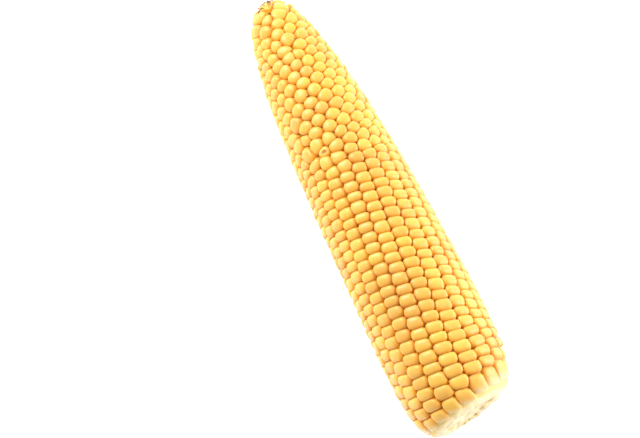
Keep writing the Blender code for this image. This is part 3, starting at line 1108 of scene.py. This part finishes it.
@dataclass(frozen=True)
class KernelSkin:
    """Fresh sweet corn: a thin, taut, moist skin over milky flesh, so light goes in and comes out warmer."""

    # light is the colour of the painted highlight on the crowns, and deep the colour of the painted shade
    # down the flanks and on the butt sides.
    light: str = "#F3C45C"
    deep: str = "#EDA014"
    root: str = "#D9A23E"
    pale: str = "#F4DAA8"
    brown: str = "#BC7A26"
    roughness: float = 0.38
    specular: float = 0.65
    ior: float = 1.42
    subsurface: float = 0.55
    subsurface_scale: float = 2.2 * MM
    subsurface_radius: tuple[float, float, float] = (1.0, 0.55, 0.16)
    sheen: float = 0.18
    sheen_roughness: float = 0.5
    patches_per_metre: float = 45.0
    dents_per_metre: float = 620.0
    dent_strength: float = 0.12
    dent_depth: float = 0.3 * MM

    def material(self) -> Material:
        """Builds the material.

        Returns:
            The skin's material.
        """
        material, tree = empty_material("sweet_corn_skin")
        height, tone, dimple, fore, first = (
            add_node(tree, "ShaderNodeAttribute", attribute_name=name).outputs["Fac"]
            for name in ("height", "tone", "dimple", "fore", "first")
        )
        place = add_node(tree, "ShaderNodeTexCoord").outputs["Object"]

        # Painted light and shade: the skin is painted deepest in colour down its flanks and on its butt side,
        # as painted shade, and lightest on its crown and its tip side, as a painted highlight.
        crown = add_node(tree, "ShaderNodeMapRange", {"Value": height, "From Min": 0.45, "From Max": 0.95})
        facing = add_node(
            tree, "ShaderNodeMath", {0: fore, 1: 0.42, 2: 0.78}, operation="MULTIPLY_ADD", use_clamp=True
        )
        lit = add_node(tree, "ShaderNodeMath", {0: crown, 1: facing}, operation="MULTIPLY")
        low = add_node(tree, "ShaderNodeMapRange", {"Value": height, "From Min": 0.4, "From Max": 0.0})
        skin = colour(self.deep)
        for amount, layer in ((lit, self.light), (low, self.root)):
            inputs = {0: amount, 6: skin, 7: colour(layer)}
            skin = add_node(tree, "ShaderNodeMix", inputs, data_type="RGBA").outputs[2]

        # Kernels differ a little in ripeness, in patches about 22 mm across and from one to the next.
        patches = add_node(tree, "ShaderNodeTexNoise", {"Vector": place, "Scale": self.patches_per_metre})
        mixed = add_node(tree, "ShaderNodeMath", {0: tone, 1: 0.14, 2: patches}, operation="MULTIPLY_ADD")
        ends = ("From Min", "From Max", "To Min", "To Max")
        value, hue = (
            add_node(tree, "ShaderNodeMapRange", {"Value": mixed, **dict(zip(ends, numbers))})
            for numbers in ((0.3, 0.7, 0.93, 1.05), (0.25, 0.75, 0.495, 0.505))
        )
        skin = add_node(tree, "ShaderNodeHueSaturation", {"Color": skin, "Value": value, "Hue": hue})

        # The first kernels at the butt fade to cream on the side where they meet the collar, and a dented
        # kernel is brown in its dent.
        paling = add_node(
            tree,
            "ShaderNodeMapRange",
            {"Value": fore, "From Min": -0.1, "From Max": -1.05, "To Max": 1.0},
            interpolation_type="SMOOTHSTEP",
        )
        scar = add_node(tree, "ShaderNodeMapRange", {"Value": height, "From Min": 0.975, "From Max": 1.0})
        for share, where, layer in ((paling, first, self.pale), (scar, dimple, self.brown)):
            amount = add_node(tree, "ShaderNodeMath", {0: share, 1: where}, operation="MULTIPLY")
            inputs = {0: amount, 6: skin, 7: colour(layer)}
            skin = add_node(tree, "ShaderNodeMix", inputs, data_type="RGBA").outputs[2]

        # Faint unevenness of the taut skin, a little over a millimetre across.
        dents = add_node(tree, "ShaderNodeTexNoise", {"Vector": place, "Scale": self.dents_per_metre})
        inputs = {"Height": dents, "Strength": self.dent_strength, "Distance": self.dent_depth}
        bump = add_node(tree, "ShaderNodeBump", inputs)
        shader = add_node(
            tree,
            "ShaderNodeBsdfPrincipled",
            {
                "Base Color": skin,
                "Roughness": self.roughness,
                "IOR": self.ior,
                "Specular IOR Level": self.specular,
                "Subsurface Weight": self.subsurface,
                "Subsurface Scale": self.subsurface_scale,
                "Subsurface Radius": self.subsurface_radius,
                "Sheen Weight": self.sheen,
                "Sheen Roughness": self.sheen_roughness,
                "Normal": bump,
            },
        )
        add_node(tree, "ShaderNodeOutputMaterial", {"Surface": shader})
        return material


@dataclass(frozen=True)
class CobPith:
    """Fresh cob: spongy cream pith whose hollows are painted darker, as painted shade, rough and matte where
    it snapped.
    """

    light: str = "#F6E3BE"
    dark: str = "#EBD29C"
    # hollow is the colour of the painted shade inside the pits.
    hollow: str = "#8A6F2E"
    wood: str = "#C9A458"
    yellow: str = "#F1CE7E"
    roughness: float = 0.6
    subsurface: float = 0.25
    subsurface_scale: float = 1.5 * MM
    subsurface_radius: tuple[float, float, float] = (1.0, 0.8, 0.5)
    fibres_per_metre: float = 380.0
    streaks_per_metre: float = 260.0
    fibre_strength: float = 0.35
    fibre_depth: float = 0.5 * MM

    def material(self) -> Material:
        """Builds the material.

        Returns:
            The pith's material.
        """
        material, tree = empty_material("fresh_cob_pith")
        place = add_node(tree, "ShaderNodeTexCoord").outputs["Object"]
        wood, yellow, pit = (
            add_node(tree, "ShaderNodeAttribute", attribute_name=name).outputs["Fac"]
            for name in ("wood", "yellow", "pit")
        )

        # Torn fibres about 3 mm long, and woody streaks a little longer in a ring of their own.
        inputs = {"Vector": place, "Scale": self.fibres_per_metre, "Detail": 5.0, "Roughness": 0.6}
        fibres = add_node(tree, "ShaderNodeTexNoise", inputs)
        blend = add_node(tree, "ShaderNodeMapRange", {"Value": fibres, "From Min": 0.35, "From Max": 0.6})
        inputs = {"Vector": place, "Scale": self.streaks_per_metre, "Detail": 3.0, "Roughness": 0.65}
        streaks = add_node(tree, "ShaderNodeTexNoise", inputs)
        streaked = add_node(tree, "ShaderNodeMapRange", {"Value": streaks, "From Min": 0.42, "From Max": 0.6})
        woody = add_node(tree, "ShaderNodeMath", {0: wood, 1: streaked}, operation="MULTIPLY")
        # Painted shade: the deeper parts of the pits are painted dark olive-brown.
        hollow = add_node(tree, "ShaderNodeMapRange", {"Value": pit, "From Min": 0.25, "From Max": 0.8})
        pith = colour(self.dark)
        for amount, layer in (
            (blend, self.light),
            (woody, self.wood),
            (yellow, self.yellow),
            (hollow, self.hollow),
        ):
            inputs = {0: amount, 6: pith, 7: colour(layer)}
            pith = add_node(tree, "ShaderNodeMix", inputs, data_type="RGBA").outputs[2]
        inputs = {"Height": fibres, "Strength": self.fibre_strength, "Distance": self.fibre_depth}
        bump = add_node(tree, "ShaderNodeBump", inputs)
        shader = add_node(
            tree,
            "ShaderNodeBsdfPrincipled",
            {
                "Base Color": pith,
                "Roughness": self.roughness,
                "Subsurface Weight": self.subsurface,
                "Subsurface Scale": self.subsurface_scale,
                "Subsurface Radius": self.subsurface_radius,
                "Normal": bump,
            },
        )
        add_node(tree, "ShaderNodeOutputMaterial", {"Surface": shader})
        return material


@dataclass(frozen=True)
class SilkFinish:
    """Dried corn silk: dull brown threads, paler where they are still flat and split."""

    brown: str = "#6E4524"
    straw: str = "#C08A4A"
    roughness: float = 0.7
    streaks_per_metre: float = 700.0

    def material(self) -> Material:
        """Builds the material.

        Returns:
            The silk's material.
        """
        material, tree = empty_material("dried_silk")
        place = add_node(tree, "ShaderNodeTexCoord").outputs["Object"]
        inputs = {"Vector": place, "Scale": self.streaks_per_metre, "Detail": 1.0}
        streaks = add_node(tree, "ShaderNodeTexNoise", inputs)
        blend = add_node(tree, "ShaderNodeMapRange", {"Value": streaks, "From Min": 0.42, "From Max": 0.62})
        inputs = {0: blend, 6: colour(self.brown), 7: colour(self.straw)}
        silk = add_node(tree, "ShaderNodeMix", inputs, data_type="RGBA").outputs[2]
        shader = add_node(
            tree, "ShaderNodeBsdfPrincipled", {"Base Color": silk, "Roughness": self.roughness}
        )
        add_node(tree, "ShaderNodeOutputMaterial", {"Surface": shader})
        return material


@dataclass(frozen=True)
class WhiteTable:
    """A sheet of opal acrylic lit softly from below: it swallows most of the shadow that lies on it."""

    tint: str = "#FDFDFD"
    glow: float = 0.38
    roughness: float = 0.9
    specular: float = 0.1

    def material(self) -> Material:
        """Builds the material."""
        material, tree = empty_material("opal_acrylic")
        shader = add_node(
            tree,
            "ShaderNodeBsdfPrincipled",
            {
                "Base Color": colour(self.tint),
                "Roughness": self.roughness,
                "Specular IOR Level": self.specular,
                "Emission Color": colour(self.tint),
                "Emission Strength": self.glow,
            },
        )
        add_node(tree, "ShaderNodeOutputMaterial", {"Surface": shader})
        return material


# ---------------------------------------------------------------------------------------------------------
# The studio


@dataclass(frozen=True)
class SoftBox:
    """One large soft light."""

    name: str
    direction: tuple[float, float, float]
    distance: float
    size: float
    watts: float
    tint: str = "#FFFFFF"

    def build(self, aim: Vector) -> Object:
        """Hangs the light and turns it to the ear."""
        light = bpy.data.lights.new(self.name, "AREA")
        light.shape = "SQUARE"
        light.size = self.size
        light.energy = self.watts
        light.color = colour(self.tint)[:3]
        obj = bpy.data.objects.new(self.name, light)
        bpy.context.scene.collection.objects.link(obj)
        obj.location = aim + Vector(self.direction).normalized() * self.distance
        obj.rotation_euler = (aim - obj.location).to_track_quat("-Z", "Y").to_euler()
        return obj


@dataclass(frozen=True)
class Studio:
    """The table, the lights and the camera."""

    azimuth: float = math.radians(-24.74)
    elevation: float = math.radians(72.1)
    distance: float = 0.6553
    aim_right: float = -0.0198
    aim_up: float = -0.0078
    lens: float = 85.0
    sensor: float = 36.0
    sky: float = 0.55
    table_size: float = 6.0
    table_drop: float = 0.1 * MM
    lights: tuple[SoftBox, ...] = (
        SoftBox("upper_left_softbox", (-0.40, 0.80, 0.75), 0.9, 0.45, 8.6),
        SoftBox("right_softbox", (1.0, -0.35, 0.35), 0.8, 0.6, 7.2),
    )

    def build(self) -> None:
        """Sets up the table, the lights and the camera."""
        self._table()
        for light in self.lights:
            light.build(Vector((0, 0, 0.02)))
        self._sky()
        self._camera()

    def _table(self) -> None:
        """Lays the white table under the ear."""
        bpy.ops.mesh.primitive_plane_add(size=self.table_size, location=(0, 0, -self.table_drop))
        table = bpy.context.active_object
        table.name = "table"
        table.data.materials.append(WhiteTable().material())

    def _sky(self) -> None:
        """Fills the room with even white light."""
        world = bpy.data.worlds.new("white_room")
        world.use_nodes = True
        background = world.node_tree.nodes["Background"]
        background.inputs["Color"].default_value = (1.0, 1.0, 1.0, 1.0)
        background.inputs["Strength"].default_value = self.sky
        bpy.context.scene.world = world
        bpy.context.scene.view_settings.view_transform = "Standard"

    def _camera(self) -> None:
        """Stands the camera over the ear's butt, looking down along it."""
        heading, down = -self.azimuth, self.elevation
        forward = Vector(
            (math.sin(heading) * math.cos(down), math.cos(heading) * math.cos(down), -math.sin(down))
        )
        right = forward.cross(Vector((0, 0, 1))).normalized()
        up = right.cross(forward)
        aim = Vector((0, 0, 0.024)) + right * self.aim_right + up * self.aim_up
        camera = bpy.data.cameras.new("camera")
        camera.lens = self.lens
        camera.sensor_width = self.sensor
        camera.clip_start = 0.01
        obj = bpy.data.objects.new("camera", camera)
        bpy.context.scene.collection.objects.link(obj)
        obj.location = aim - forward * self.distance
        obj.rotation_euler = forward.to_track_quat("-Z", "Y").to_euler()
        bpy.context.scene.camera = obj


def main() -> None:
    """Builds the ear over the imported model, and the studio round it."""
    logging.basicConfig(level=logging.INFO, format="%(name)s: %(message)s", stream=sys.stdout)
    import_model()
    ear = EarShape()
    CobCore(ear, CobPith().material()).build()
    KernelRows(KernelLayout(ear), KernelTree(), KernelSkin().material()).build()
    DriedSilk(ear, SilkFinish().material()).build()
    Studio().build()


if __name__ == "__main__":
    main()
